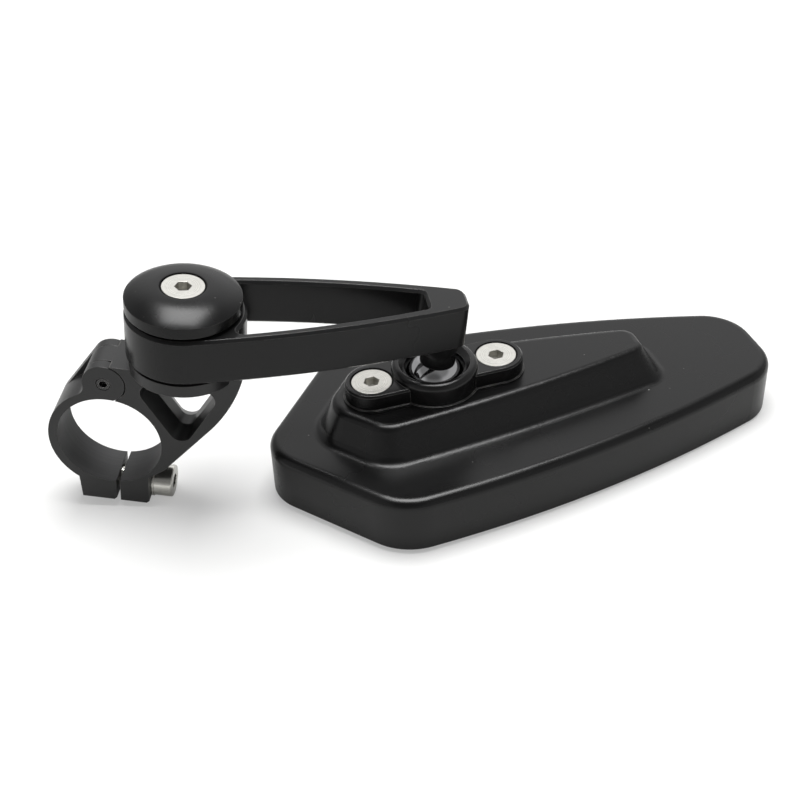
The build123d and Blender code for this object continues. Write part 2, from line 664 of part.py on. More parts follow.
# Mirror housing: rimmed shell with a tapered step that carries the ball socket
shelf_z = GLASS_SINK + GLASS_H + PAD_H
with BuildPart() as mirror_housing:
    extrude(coffin(head_plane(0), **HOUSING, **HOUSING_R), amount=RIM_H)
    fillet(mirror_housing.faces().sort_by(Axis.Z)[-1].edges(), RIM_EDGE)
    fillet(mirror_housing.faces().sort_by(Axis.Z)[0].edges(), FOOT_EDGE)
    step_foot = coffin(head_plane(RIM_H), **STEP_FOOT, **STEP_FOOT_R)
    step_top = coffin(head_plane(BALL_HEIGHT), **STEP_TOP, **STEP_TOP_R)
    loft([step_foot.face(), step_top.face()], ruled=True)
    fillet(mirror_housing.faces().sort_by(Axis.Z)[-1].edges(), STEP_EDGE)
    deck = mirror_housing.faces().filter_by(Plane.XY).group_by(Axis.Z)[-2].face()
    fillet(deck.inner_wires().edges(), STEP_ROOT)
    extrude(
        coffin(head_plane(0), **HOUSING, **HOUSING_R, inset=RIM_WALL),
        amount=shelf_z,
        mode=Mode.SUBTRACT,
    )
    extrude(
        coffin(head_plane(shelf_z), **HOUSING, **HOUSING_R, inset=RIM_WALL + SHELF_W),
        amount=RIM_H - DECK_WALL - shelf_z,
        mode=Mode.SUBTRACT,
    )
    with BuildSketch(head_plane(RIM_H - DECK_WALL)):
        Circle(CUP_BOSS_R)
    extrude(amount=-CUP_BOSS_H)
    with Locations(ball):
        Sphere(CAVITY_R, mode=Mode.SUBTRACT)
    add(socket_holes, mode=Mode.SUBTRACT)
export(mirror_housing.part, "mirror_housing")

# Glass, held by an adhesive frame on the ledge inside the rim
with BuildPart() as mirror_glass:
    extrude(
        coffin(head_plane(GLASS_SINK), **HOUSING, **HOUSING_R, inset=RIM_WALL + GLASS_GAP),
        amount=GLASS_H,
    )
export(mirror_glass.part, "mirror_glass")

pad_plane = head_plane(GLASS_SINK + GLASS_H)
with BuildPart() as glass_pad:
    extrude(coffin(pad_plane, **HOUSING, **HOUSING_R, inset=RIM_WALL + PAD_INSET), amount=PAD_H)
    extrude(
        coffin(pad_plane, **HOUSING, **HOUSING_R, inset=RIM_WALL + SHELF_W),
        amount=PAD_H,
        mode=Mode.SUBTRACT,
    )
export(glass_pad.part, "glass_pad")
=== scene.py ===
"""Looks of a bar end mirror: finishes for every piece, the studio stage and the camera."""

import json
from math import atan2, radians

import bpy
from mathutils import Matrix, Vector


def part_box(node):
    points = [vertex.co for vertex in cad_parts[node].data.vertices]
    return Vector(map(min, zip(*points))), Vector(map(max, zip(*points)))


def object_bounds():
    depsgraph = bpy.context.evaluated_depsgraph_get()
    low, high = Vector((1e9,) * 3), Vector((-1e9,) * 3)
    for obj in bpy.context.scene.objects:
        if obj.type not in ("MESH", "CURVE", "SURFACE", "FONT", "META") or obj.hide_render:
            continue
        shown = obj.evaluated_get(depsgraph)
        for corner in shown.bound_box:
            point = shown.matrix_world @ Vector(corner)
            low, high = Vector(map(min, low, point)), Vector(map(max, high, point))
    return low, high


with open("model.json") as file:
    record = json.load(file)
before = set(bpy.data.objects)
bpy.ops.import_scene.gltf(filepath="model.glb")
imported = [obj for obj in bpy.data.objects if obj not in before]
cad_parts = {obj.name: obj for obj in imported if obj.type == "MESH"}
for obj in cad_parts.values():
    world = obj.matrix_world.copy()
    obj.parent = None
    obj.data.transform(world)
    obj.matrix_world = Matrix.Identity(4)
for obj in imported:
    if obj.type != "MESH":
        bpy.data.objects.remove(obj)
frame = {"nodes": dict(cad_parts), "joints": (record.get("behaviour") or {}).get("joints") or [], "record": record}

bl_info = {
    "name": "Bar End Mirror",
    "version": (1, 0, 0),
    "blender": (4, 5, 0),
    "location": "View3D > Sidebar > Mirror",
    "description": "Dresses a bar end mirror with its finishes and sets it on a studio floor",
    "category": "Object",
}

CAD_LOW, CAD_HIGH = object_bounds()
NODES = frame["nodes"]
JOINTS = {joint["name"]: joint for joint in frame["joints"]}
MOUNTS = {mount["name"]: mount for mount in frame["record"]["mounts"]}
MM = 0.001

# Places and directions on the part. The clamp's bore is the origin.
BORE_CENTRE = Vector((0.0, 0.0, 0.0))
BAR_AXIS = Vector((0.0, 1.0, 0.0))
UP = Vector((0.0, 0.0, 1.0))
PIVOT_AXIS = Vector(JOINTS["arm_pivot"]["axis"])
PIVOT_PLACE = Vector(JOINTS["arm_pivot"]["pos_m"])
BALL_PLACE = Vector(JOINTS["head_spin"]["pos_m"])
HEAD_ALONG = Vector(JOINTS["head_roll"]["axis"])

# Screws
SOCKET_SCREW_PITCH = 28.0 * MM
CLAMP_HEAD_H = 4.2 * MM  # from the washer's middle to the head's end
CLAMP_SOCKET_R = 1.8 * MM
FLAT_SOCKET_R = 1.9 * MM
FLAT_HEAD_R = 4.3 * MM
FLAT_GAP = 0.22 * MM  # ring of room round a countersunk head
SOCKET_SKIN = 0.08 * MM  # how far below the head's face a key socket starts

# Index of refraction of the blacks, which sets how strongly each one reflects
BLACK_IOR = 1.5
CAP_IOR = 1.35
ARM_IOR = 1.345
COAT_IOR = 1.4

# Noise lies round a half. These are a gentle and a firm pair of ends for a ramp on it.
GENTLE = (0.3, 0.7)
FIRM = (0.35, 0.65)

# Edges: rubbed wear and a painted highlight on the black finishes, painted shade on flat screws
EDGE_COSINES = (0.995, 0.88)  # of the rounded and the flat normal, where an edge starts and is full
EDGE_SAMPLES = 6
EDGE_PATCHES = 420.0  # to the metre
EDGE_LEAST = 0.35  # share of the edge mask that is left between the patches
# Painted highlight: pale ring on the hinge pin's chamfered rims
OXIDE_EDGE_HIGHLIGHT_COLOR = (0.3, 0.29, 0.28)

# Grain, clouds and lathe rings
CLOUD_SIZE = 20.0 * MM
RING_SPACING = 0.2 * MM
GRAIN_HEIGHT = 0.02 * MM

# Dust specks: one at most in each cell, and few cells have one
DUST_COLOR = (0.25, 0.25, 0.24)
DUST_CELL = 2.4 * MM
SPECK_RADII = (0.09, 0.05)  # as shares of a cell, where a speck starts and is full
SPECK_PICKS = 900.0  # to the metre, noise that picks the cells
SPECK_RARITY = (0.6, 0.68)
SPECK_SLOPES = (0.4, 0.9)  # cosines from the upright, where dust starts to stay and is full

# Scuffs in the clamp's bore
BORE_SKIN = 0.03 * MM
SCUFF_STREAKS = 2400.0  # to the metre
SCUFF_COLORS = ((0.018, 0.018, 0.0185), (0.045, 0.045, 0.046))
SCUFF_ROUGHNESS = 0.2  # added to the finish's own

# Painted shade in the gaps round flat screw heads: a near-black ring on the cap and the plate
GAP_SHADE_COLOR = (0.001, 0.001, 0.001)
GAP_SHADE_REACH = 0.35 * MM
GAP_SHADE_FULL = 0.1 * MM
GAP_SHADE_ROUGHNESS = 0.7  # added to the finish's own

# Bare turned metal, with grime and painted shade in its key sockets and painted shade along its edges
METAL_EDGE_SHARE = 0.8  # of the edge width of the other finishes
METAL_CLOUD = 1.5 * MM
METAL_DULL_TONE = 0.72
METAL_DULL_SHARE = 0.25
RING_ROUGHNESS = (-0.05, 0.07)  # added to the metal's own, from ring to ring
RING_DEPTH = 0.12
GRIME_AND_SHADE_COLOR = (0.1, 0.092, 0.078)
GRIME_AND_SHADE_SHARE = 0.35
GRIME_AND_SHADE_ROUGHNESS = 0.2

# Polished ball
BALL_COLORS = ((0.58, 0.58, 0.59), (0.65, 0.65, 0.66))
BALL_ROUGHNESS = (0.05, 0.11)
BALL_CLOUD = 6.0 * MM
BALL_MARK_SIZE = 0.4 * MM
BALL_MARK_DEPTH = 0.03
BALL_MARK_HEIGHT = 0.01 * MM

# Moulded plastic and foam
PLASTIC_GRAIN = 1.6  # times the grain of the black finish
PLASTIC_PALE = 1.6  # times the plastic's own colour
PLASTIC_ROUGHNESS = (0.5, 0.62)
PLASTIC_DEPTH = 0.25
PLASTIC_HEIGHT = 0.03 * MM

# Mirror glass
GLASS_EDGE_COLOR = (0.02, 0.05, 0.04)
GLASS_EDGE_ROUGHNESS = 0.35
GLASS_FACE_COSINES = (0.6, 0.9)
SMEAR_PATCHES = (0.45, 0.75)
SMEAR_ROUGHNESS = (0.012, 0.045)

# Floor: its glow grows with the distance from the clamp, in metres
GLOW_REACH = (0.15, 0.8)
FAR_GLOW = 0.5
MIRRORED_GLOW = 0.25  # share of the glow that reflections see

# World: the room that reflections show. An edge is a pair of cosines from its direction.
WHITE = (1.0, 1.0, 1.0)
EVEN_LIGHT = 0.31
BACKDROP_WAY = Vector((0.0, 0.8, 0.6))
BACKDROP_EDGE = (0.72, 0.98)
ROOM_LIGHT = 0.45
BACKDROP_LIGHT = 1.15
CEILING_EDGE = (0.6, 0.76)
CEILING_SHARE = 0.5
FRONT_WAY = Vector((0.0, -0.77, 0.64))
FRONT_EDGE = (0.8, 0.96)
FRONT_SHARE = 0.45

SENSOR_WIDTH = 36.0
CLIP_START = 10.0 * MM


class MirrorFinishes(bpy.types.PropertyGroup):
    """Colours and surface sizes of the mirror's finishes."""

    anodised_color: bpy.props.FloatVectorProperty(
        name="Anodised Black",
        description="Colour of the clamp and the arm",
        subtype="COLOR",
        size=3,
        default=(0.0105, 0.0105, 0.0107),
        min=0.0,
        max=1.0,
    )
    cap_color: bpy.props.FloatVectorProperty(
        name="Cap Black",
        description="Colour of the pivot cap",
        subtype="COLOR",
        size=3,
        default=(0.0045, 0.0045, 0.0046),
        min=0.0,
        max=1.0,
    )
    coat_color: bpy.props.FloatVectorProperty(
        name="Housing Black",
        description="Colour of the coating on the mirror housing",
        subtype="COLOR",
        size=3,
        default=(0.003, 0.003, 0.0031),
        min=0.0,
        max=1.0,
    )
    plate_color: bpy.props.FloatVectorProperty(
        name="Socket Plate Black",
        description="Colour of the glossy coating on the socket plate",
        subtype="COLOR",
        size=3,
        default=(0.005, 0.005, 0.0051),
        min=0.0,
        max=1.0,
    )
    oxide_color: bpy.props.FloatVectorProperty(
        name="Black Oxide",
        description="Colour of the hinge pin",
        subtype="COLOR",
        size=3,
        default=(0.012, 0.012, 0.013),
        min=0.0,
        max=1.0,
    )
    # Lighter colour of the black finishes' edges: rubbed wear and a painted highlight.
    edge_wear_and_highlight_color: bpy.props.FloatVectorProperty(
        name="Edge Wear And Painted Light",
        description="Colour of the black finish where edges are rubbed thin",
        subtype="COLOR",
        size=3,
        default=(0.13, 0.127, 0.122),
        min=0.0,
        max=1.0,
    )
    steel_color: bpy.props.FloatVectorProperty(
        name="Stainless",
        description="Colour of the stainless screws",
        subtype="COLOR",
        size=3,
        default=(0.66, 0.65, 0.61),
        min=0.0,
        max=1.0,
    )
    brass_color: bpy.props.FloatVectorProperty(
        name="Brass",
        description="Colour of the bush in the pivot",
        subtype="COLOR",
        size=3,
        default=(0.6, 0.42, 0.16),
        min=0.0,
        max=1.0,
    )
    nylon_color: bpy.props.FloatVectorProperty(
        name="Black Nylon",
        description="Colour of the friction washers and the ball's liner",
        subtype="COLOR",
        size=3,
        default=(0.012, 0.012, 0.012),
        min=0.0,
        max=1.0,
    )
    foam_color: bpy.props.FloatVectorProperty(
        name="Foam",
        description="Colour of the foam tape under the glass",
        subtype="COLOR",
        size=3,
        default=(0.03, 0.03, 0.03),
        min=0.0,
        max=1.0,
    )
    glass_color: bpy.props.FloatVectorProperty(
        name="Silvered Glass",
        description="Tint of the mirror glass",
        subtype="COLOR",
        size=3,
        default=(0.86, 0.88, 0.89),
        min=0.0,
        max=1.0,
    )
    # This width also sets the painted highlight and the painted shade along edges.
    edge_width: bpy.props.FloatProperty(
        name="Edge Width",
        description="Width over which an edge is rounded and rubbed",
        subtype="DISTANCE",
        unit="LENGTH",
        default=0.25 * MM,
        min=0.0,
    )
    grain_size: bpy.props.FloatProperty(
        name="Grain Size",
        description="Size of the fine blasted grain under the black finish",
        subtype="DISTANCE",
        unit="LENGTH",
        default=0.22 * MM,
        min=0.01 * MM,
    )


class MirrorStage(bpy.types.PropertyGroup):
    """Camera, floor and light of the studio."""

    camera_place: bpy.props.FloatVectorProperty(
        name="Camera Place",
        description="Where the camera stands",
        subtype="XYZ",
        unit="LENGTH",
        size=3,
        default=(88.53 * MM, -223.71 * MM, 183.2 * MM),
    )
    camera_aim: bpy.props.FloatVectorProperty(
        name="Camera Aim",
        description="Point in the middle of the picture",
        subtype="XYZ",
        unit="LENGTH",
        size=3,
        default=(60.8 * MM, 4.15 * MM, 5.97 * MM),
    )
    camera_roll: bpy.props.FloatProperty(
        name="Camera Roll",
        description="Turn of the camera about its own line of sight",
        subtype="ANGLE",
        unit="ROTATION",
        default=radians(-2.67),
    )
    camera_lens: bpy.props.FloatProperty(
        name="Lens",
        description="Focal length in millimetres, for a 36 mm sensor",
        default=62.57,
        min=1.0,
    )
    floor_color: bpy.props.FloatVectorProperty(
        name="Floor",
        description="Colour of the studio floor",
        subtype="COLOR",
        size=3,
        default=(0.55, 0.55, 0.544),
        min=0.0,
        max=1.0,
    )
    floor_size: bpy.props.FloatProperty(
        name="Floor Size",
        description="Length of the floor's sides",
        subtype="DISTANCE",
        unit="LENGTH",
        default=6.0,
        min=1.0,
    )
    floor_glow: bpy.props.FloatProperty(
        name="Floor Glow",
        description="Brightness added to the floor where the camera sees it",
        default=0.35,
        min=0.0,
        max=1.0,
    )
    softbox_offset: bpy.props.FloatVectorProperty(
        name="Softbox Offset",
        description="Where the softbox hangs, from the middle of the part",
        subtype="XYZ",
        unit="LENGTH",
        size=3,
        default=(0.0, 0.07, 0.62),
    )
    softbox_width: bpy.props.FloatProperty(
        name="Softbox Width",
        description="Size of the softbox from side to side",
        subtype="DISTANCE",
        unit="LENGTH",
        default=0.4,
        min=0.01,
    )
    softbox_depth: bpy.props.FloatProperty(
        name="Softbox Depth",
        description="Size of the softbox from front to back",
        subtype="DISTANCE",
        unit="LENGTH",
        default=0.38,
        min=0.01,
    )
    softbox_power: bpy.props.FloatProperty(
        name="Softbox Power",
        description="Power of the softbox in watts",
        subtype="POWER",
        unit="POWER",
        default=5.8,
        min=0.0,
    )


class NodeWeb:
    """Short way to add and join nodes in one node tree."""

    def __init__(self, tree):
        self.tree = tree

    def add(self, kind, settings=None, **inputs):
        """Adds a node.

        Inputs are set by socket name, with _ for a space, from a value or from another
        node's output.
        """
        node = self.tree.nodes.new(kind)
        for name, value in (settings or {}).items():
            setattr(node, name, value)
        for name, value in inputs.items():
            self.put(node.inputs[name.replace("_", " ")], value)
        return node

    def put(self, socket, value):
        """Sets a socket, or links it when the value is another node's output."""
        if isinstance(value, bpy.types.NodeSocket):
            self.tree.links.new(value, socket)
        elif hasattr(value, "__len__") and socket.type == "RGBA" and len(value) == 3:
            socket.default_value = (*value, 1.0)
        else:
            socket.default_value = value

    def math(self, operation, *values):
        """A Math node on two or three values. Returns its output."""
        node = self.tree.nodes.new("ShaderNodeMath")
        node.operation = operation
        for socket, value in zip(node.inputs, values):
            self.put(socket, value)
        return node.outputs[0]

    def vector(self, operation, *values, out="Vector"):
        """A Vector Math node. Returns the output of that name."""
        node = self.tree.nodes.new("ShaderNodeVectorMath")
        node.operation = operation
        for socket, value in zip(node.inputs, values):
            self.put(socket, value)
        return node.outputs[out]

    def dot(self, a, b):
        """Dot product of two vectors."""
        return self.vector("DOT_PRODUCT", a, b, out="Value")

    def blend(self, share, a, b):
        """Mixes two colours. Returns the mixed colour."""
        node = self.tree.nodes.new("ShaderNodeMix")
        node.data_type = "RGBA"
        self.put(node.inputs["Factor"], share)
        self.put(node.inputs["A"], a)
        self.put(node.inputs["B"], b)
        return node.outputs["Result"]

    def ramp(self, value, low, high, to_low=0.0, to_high=1.0):
        """Maps a value from one range to another, smoothly and within it."""
        node = self.tree.nodes.new("ShaderNodeMapRange")
        node.interpolation_type = "SMOOTHSTEP"
        for socket, number in zip(node.inputs, (value, low, high, to_low, to_high)):
            self.put(socket, number)
        return node.outputs["Result"]

    def noise(self, place, scale, detail=3.0):
        """Noise at a place. Returns its value."""
        node = self.add("ShaderNodeTexNoise", Vector=place, Scale=scale, Detail=detail)
        return node.outputs["Fac"]

    def noise_along(self, distance, scale, detail=3.0):
        """Noise along a line. Returns its value."""
        line = {"noise_dimensions": "1D"}
        node = self.add("ShaderNodeTexNoise", line, W=distance, Scale=scale, Detail=detail)
        return node.outputs["Fac"]


def new_group(name, inputs, outputs):
    """Starts a shader node group. Returns its web, its input sockets and its output node."""
    tree = bpy.data.node_groups.new(name, "ShaderNodeTree")
    for label, kind, default in inputs:
        socket = tree.interface.new_socket(label, in_out="INPUT", socket_type=kind)
        socket.default_value = default
    for label, kind in outputs:
        tree.interface.new_socket(label, in_out="OUTPUT", socket_type=kind)
    web = NodeWeb(tree)
    start = tree.nodes.new("NodeGroupInput")
    end = tree.nodes.new("NodeGroupOutput")
    return web, start.outputs, end


def edge_wear_and_light_group():
    """Mask of the edges, broken up by a fine noise: rubbed wear and a painted highlight on the blacks, painted
    shade on flat screws.
    """
    web, given, end = new_group(
        "Edge Wear And Painted Light",
        [("Width", "NodeSocketFloat", 0.25 * MM), ("Strength", "NodeSocketFloat", 1.0)],
        [("Mask", "NodeSocketFloat"), ("Normal", "NodeSocketVector")],
    )
    rounded = web.add("ShaderNodeBevel", {"samples": EDGE_SAMPLES}, Radius=given["Width"])
    flat = web.add("ShaderNodeNewGeometry")
    facing = web.dot(rounded.outputs["Normal"], flat.outputs["Normal"])
    edge = web.ramp(facing, *EDGE_COSINES)
    place = web.add("ShaderNodeTexCoord")
    patchy = web.noise(place.outputs["Object"], EDGE_PATCHES)
    broken = web.ramp(patchy, *FIRM, EDGE_LEAST, 1.0)
    mask = web.math("MULTIPLY", web.math("MULTIPLY", edge, broken), given["Strength"])
    web.put(end.inputs["Mask"], mask)
    web.put(end.inputs["Normal"], rounded.outputs["Normal"])
    return web.tree


def blasted_grain_group():
    """Fine even grain of a blasted or coated surface, and a broad cloud that varies its gloss."""
    web, given, end = new_group(
        "Blasted Grain",
        [("Size", "NodeSocketFloat", 0.22 * MM), ("Cloud Size", "NodeSocketFloat", CLOUD_SIZE)],
        [("Grain", "NodeSocketFloat"), ("Cloud", "NodeSocketFloat")],
    )
    place = web.add("ShaderNodeTexCoord").outputs["Object"]
    fine = web.noise(place, web.math("DIVIDE", 1.0, given["Size"]), detail=2.0)
    broad = web.noise(place, web.math("DIVIDE", 1.0, given["Cloud Size"]))
    web.put(end.inputs["Grain"], fine)
    web.put(end.inputs["Cloud"], broad)
    return web.tree


def turned_rings_group():
    """Fine rings left by a lathe, round a centre and an axis."""
    web, given, end = new_group(
        "Turned Rings",
        [
            ("Centre", "NodeSocketVector", (0.0, 0.0, 0.0)),
            ("Axis", "NodeSocketVector", (0.0, 0.0, 1.0)),
            ("Spacing", "NodeSocketFloat", RING_SPACING),
        ],
        [
            ("Rings", "NodeSocketFloat"),
            ("Radius", "NodeSocketFloat"),
            ("Along", "NodeSocketFloat"),
        ],
    )
    place = web.add("ShaderNodeTexCoord")
    away = web.vector("SUBTRACT", place.outputs["Object"], given["Centre"])
    along = web.dot(away, given["Axis"])
    across = web.math("SUBTRACT", web.dot(away, away), web.math("MULTIPLY", along, along))
    radius = web.math("SQRT", web.math("MAXIMUM", across, 0.0))
    turns = web.math("DIVIDE", radius, given["Spacing"])
    web.put(end.inputs["Rings"], web.noise_along(turns, 1.0))
    web.put(end.inputs["Radius"], radius)
    web.put(end.inputs["Along"], along)
    return web.tree


def settled_dust_group():
    """Sparse specks of dust on faces that look up."""
    web, given, end = new_group(
        "Settled Dust",
        [("Amount", "NodeSocketFloat", 0.5), ("Cell Size", "NodeSocketFloat", DUST_CELL)],
        [("Mask", "NodeSocketFloat")],
    )
    place = web.add("ShaderNodeTexCoord")
    cells = web.add(
        "ShaderNodeTexVoronoi",
        Vector=place.outputs["Object"],
        Scale=web.math("DIVIDE", 1.0, given["Cell Size"]),
    )
    speck = web.ramp(cells.outputs["Distance"], *SPECK_RADII)
    chosen = web.noise(cells.outputs["Position"], SPECK_PICKS, detail=2.0)
    rare = web.ramp(chosen, *SPECK_RARITY)
    facing = web.ramp(web.dot(place.outputs["Normal"], UP), *SPECK_SLOPES)
    mask = web.math("MULTIPLY", web.math("MULTIPLY", speck, rare), facing)
    web.put(end.inputs["Mask"], web.math("MULTIPLY", mask, given["Amount"]))
    return web.tree


GROUP_MAKERS = {
    "Edge Wear And Painted Light": edge_wear_and_light_group,
    "Blasted Grain": blasted_grain_group,
    "Turned Rings": turned_rings_group,
    "Settled Dust": settled_dust_group,
}


def group_node(web, name, **inputs):
    """Places a shared group in a material, building the group the first time."""
    tree = bpy.data.node_groups.get(name) or GROUP_MAKERS[name]()
    return web.add("ShaderNodeGroup", {"node_tree": tree}, **inputs).outputs


def empty_web(owner):
    """Switches a material or a world to nodes and clears them. Returns its web."""
    owner.use_nodes = True
    owner.node_tree.nodes.clear()
    return NodeWeb(owner.node_tree)


def new_material(name):
    """Starts a material. Returns it, its web and its shader."""
    material = bpy.data.materials.new(name)
    web = empty_web(material)
    shader = web.add("ShaderNodeBsdfPrincipled")
    web.add("ShaderNodeOutputMaterial", Surface=shader.outputs["BSDF"])
    return material, web, shader


def roughen(web, shader, relief, depth, height, **base):
    """Bumps a shader's normal by a relief, on top of a base normal where one is given."""
    bump = web.add("ShaderNodeBump", Height=relief, Strength=depth, Distance=height, **base)
    web.put(shader.inputs["Normal"], bump.outputs["Normal"])


def nearest_radius(web, turned):
    """Distance from the nearest of some turned centres."""
    radius = turned[0]["Radius"]
    for other in turned[1:]:
        radius = web.math("MINIMUM", radius, other["Radius"])
    return radius


def black_finish(
    name,
    color,
    *,
    roughness,
    grain_depth,
    edge_wear_and_highlight,
    dust,
    cloud=0.05,
    ior=BLACK_IOR,
    edge_wear_and_highlight_color=None,
    bore_r=0.0,
    heads=(),
    head_axis=UP,
):
    """Black finish on metal: fine grain, cloudy gloss, edges lightened by rubbed wear and a painted highlight, and
    a little dust.

    A bore of that radius is scuffed, and painted shade darkens the gaps round flat screw heads
    at those places.
    """
    finish = bpy.context.scene.mirror_finishes
    material, web, shader = new_material(name)
    shader.inputs["IOR"].default_value = ior
    edge = group_node(web, "Edge Wear And Painted Light", Width=finish.edge_width, Strength=edge_wear_and_highlight)
    grain = group_node(web, "Blasted Grain", Size=finish.grain_size)
    specks = group_node(web, "Settled Dust", Amount=dust)
    # Edges mixed toward a lighter colour: rubbed wear and a painted highlight.
    tone = web.blend(edge["Mask"], color, edge_wear_and_highlight_color or finish.edge_wear_and_highlight_color)
    tone = web.blend(specks["Mask"], tone, DUST_COLOR)
    gloss = web.ramp(grain["Cloud"], *GENTLE, roughness - cloud, roughness + cloud)
    if bore_r:
        bore = group_node(web, "Turned Rings", Centre=BORE_CENTRE, Axis=BAR_AXIS)
        scuffed = web.math("LESS_THAN", bore["Radius"], bore_r + BORE_SKIN)
        streak = web.noise_along(bore["Along"], SCUFF_STREAKS)
        tone = web.blend(scuffed, tone, web.blend(streak, *SCUFF_COLORS))
        gloss = web.math("MULTIPLY_ADD", scuffed, SCUFF_ROUGHNESS, gloss)
    if heads:
        turned = [
            group_node(web, "Turned Rings", Centre=place, Axis=head_axis) for place in heads
        ]
        # Painted shade: a near-black, rougher ring just outside each flat screw head stands for the shadow in its
        # gap.
        gap_r = FLAT_HEAD_R + FLAT_GAP
        gap_shade = web.ramp(nearest_radius(web, turned), gap_r + GAP_SHADE_REACH, gap_r + GAP_SHADE_FULL)
        tone = web.blend(gap_shade, tone, GAP_SHADE_COLOR)
        gloss = web.math("MULTIPLY_ADD", gap_shade, GAP_SHADE_ROUGHNESS, gloss)
    web.put(shader.inputs["Base Color"], tone)
    web.put(shader.inputs["Roughness"], gloss)
    roughen(web, shader, grain["Grain"], grain_depth, GRAIN_HEIGHT, Normal=edge["Normal"])
    return material


def turned_metal(name, color, *, roughness, centres, axis, socket_r=0.0, edge_shade=0.0):
    """Bare metal turned round one or two centres.

    There is painted shade along its edges, and grime and painted shade in a key socket of that radius.
    """
    finish = bpy.context.scene.mirror_finishes
    material, web, shader = new_material(name)
    shader.inputs["Metallic"].default_value = 1.0
    edge_width = finish.edge_width * METAL_EDGE_SHARE
    edge = group_node(web, "Edge Wear And Painted Light", Width=edge_width, Strength=edge_shade)
    cloud = group_node(web, "Blasted Grain", Cloud_Size=METAL_CLOUD)["Cloud"]
    turned = [group_node(web, "Turned Rings", Centre=centre, Axis=axis) for centre in centres]
    rings = turned[0]["Rings"]
    for other in turned[1:]:
        farther = web.math("GREATER_THAN", other["Radius"], turned[0]["Radius"])
        kept = web.math("MULTIPLY", rings, farther)
        rings = web.math("MULTIPLY_ADD", other["Rings"], web.math("SUBTRACT", 1.0, farther), kept)
    # Grime and painted shade in the key socket, stronger in random patches.
    inside = web.math("LESS_THAN", nearest_radius(web, turned), socket_r)
    below = web.math("LESS_THAN", turned[0]["Along"], -SOCKET_SKIN)
    socket_share = web.ramp(cloud, *FIRM, 0.0, GRIME_AND_SHADE_SHARE)
    grime_and_shade = web.math("MULTIPLY", web.math("MULTIPLY", inside, below), socket_share)
    # Painted shade along the edges, where the edge mask is on.
    grime_and_shade = web.math("MAXIMUM", grime_and_shade, edge["Mask"])
    dull = web.ramp(cloud, *FIRM, 0.0, METAL_DULL_SHARE)
    bare = web.blend(dull, color, tuple(METAL_DULL_TONE * part for part in color))
    web.put(shader.inputs["Base Color"], web.blend(grime_and_shade, bare, GRIME_AND_SHADE_COLOR))
    gloss = web.ramp(rings, *GENTLE, *(roughness + step for step in RING_ROUGHNESS))
    gloss = web.math("MULTIPLY_ADD", grime_and_shade, GRIME_AND_SHADE_ROUGHNESS, gloss)
    web.put(shader.inputs["Roughness"], gloss)
    roughen(web, shader, rings, RING_DEPTH, GRAIN_HEIGHT, Normal=edge["Normal"])
    return material


def flat_screw_steel(name, centres, axis):
    """Stainless of countersunk screws, with grime and painted shade in the key sockets and painted shade round the
    rims.
    """
    return turned_metal(
        name,
        bpy.context.scene.mirror_finishes.steel_color,
        roughness=0.3,
        centres=centres,
        axis=axis,
        socket_r=FLAT_SOCKET_R,
        edge_shade=0.9,
    )


def polished_ball(name):
    """Polished steel with faint haze and fine handling marks."""
    material, web, shader = new_material(name)
    shader.inputs["Metallic"].default_value = 1.0
    grain = group_node(web, "Blasted Grain", Size=BALL_MARK_SIZE, Cloud_Size=BALL_CLOUD)
    web.put(shader.inputs["Base Color"], web.blend(grain["Cloud"], *BALL_COLORS))
    web.put(shader.inputs["Roughness"], web.ramp(grain["Cloud"], *GENTLE, *BALL_ROUGHNESS))
    roughen(web, shader, grain["Grain"], BALL_MARK_DEPTH, BALL_MARK_HEIGHT)
    return material


def moulded_plastic(name, color):
    """Matt moulded plastic or foam with a fine grain."""
    finish = bpy.context.scene.mirror_finishes
    material, web, shader = new_material(name)
    grain = group_node(web, "Blasted Grain", Size=finish.grain_size * PLASTIC_GRAIN)
    pale = tuple(PLASTIC_PALE * part for part in color)
    web.put(shader.inputs["Base Color"], web.blend(grain["Cloud"], color, pale))
    web.put(shader.inputs["Roughness"], web.ramp(grain["Cloud"], *GENTLE, *PLASTIC_ROUGHNESS))
    roughen(web, shader, grain["Grain"], PLASTIC_DEPTH, PLASTIC_HEIGHT)
    return material


def silvered_glass(name):
    """Mirror glass: silvered over the face, dark green at the ground edge."""
    finish = bpy.context.scene.mirror_finishes
    material, web, shader = new_material(name)
    shader.inputs["Metallic"].default_value = 1.0
    shape = web.add("ShaderNodeTexCoord")
    level = web.math("ABSOLUTE", web.dot(shape.outputs["Normal"], UP))
    face = web.ramp(level, *GLASS_FACE_COSINES)
    cloud = group_node(web, "Blasted Grain")["Cloud"]
    web.put(shader.inputs["Base Color"], web.blend(face, GLASS_EDGE_COLOR, finish.glass_color))
    smear = web.ramp(cloud, *SMEAR_PATCHES, *SMEAR_ROUGHNESS)
    ground = web.math("MULTIPLY_ADD", face, -GLASS_EDGE_ROUGHNESS, GLASS_EDGE_ROUGHNESS)
    web.put(shader.inputs["Roughness"], web.math("MAXIMUM", smear, ground))
    return material


def nylon():
    """The black nylon of the washers and the liner, made once."""
    color = bpy.context.scene.mirror_finishes.nylon_color
    return bpy.data.materials.get("washer_nylon") or moulded_plastic("washer_nylon", color)


def top_along(node, place, axis):
    """How far a CAD node reaches from a place along an axis."""
    return max((vertex.co - place).dot(axis) for vertex in NODES[node].data.vertices)


def dress(node, material):
    """Gives a CAD node its finish."""
    slots = NODES[node].data.materials
    slots.clear()
    slots.append(material)


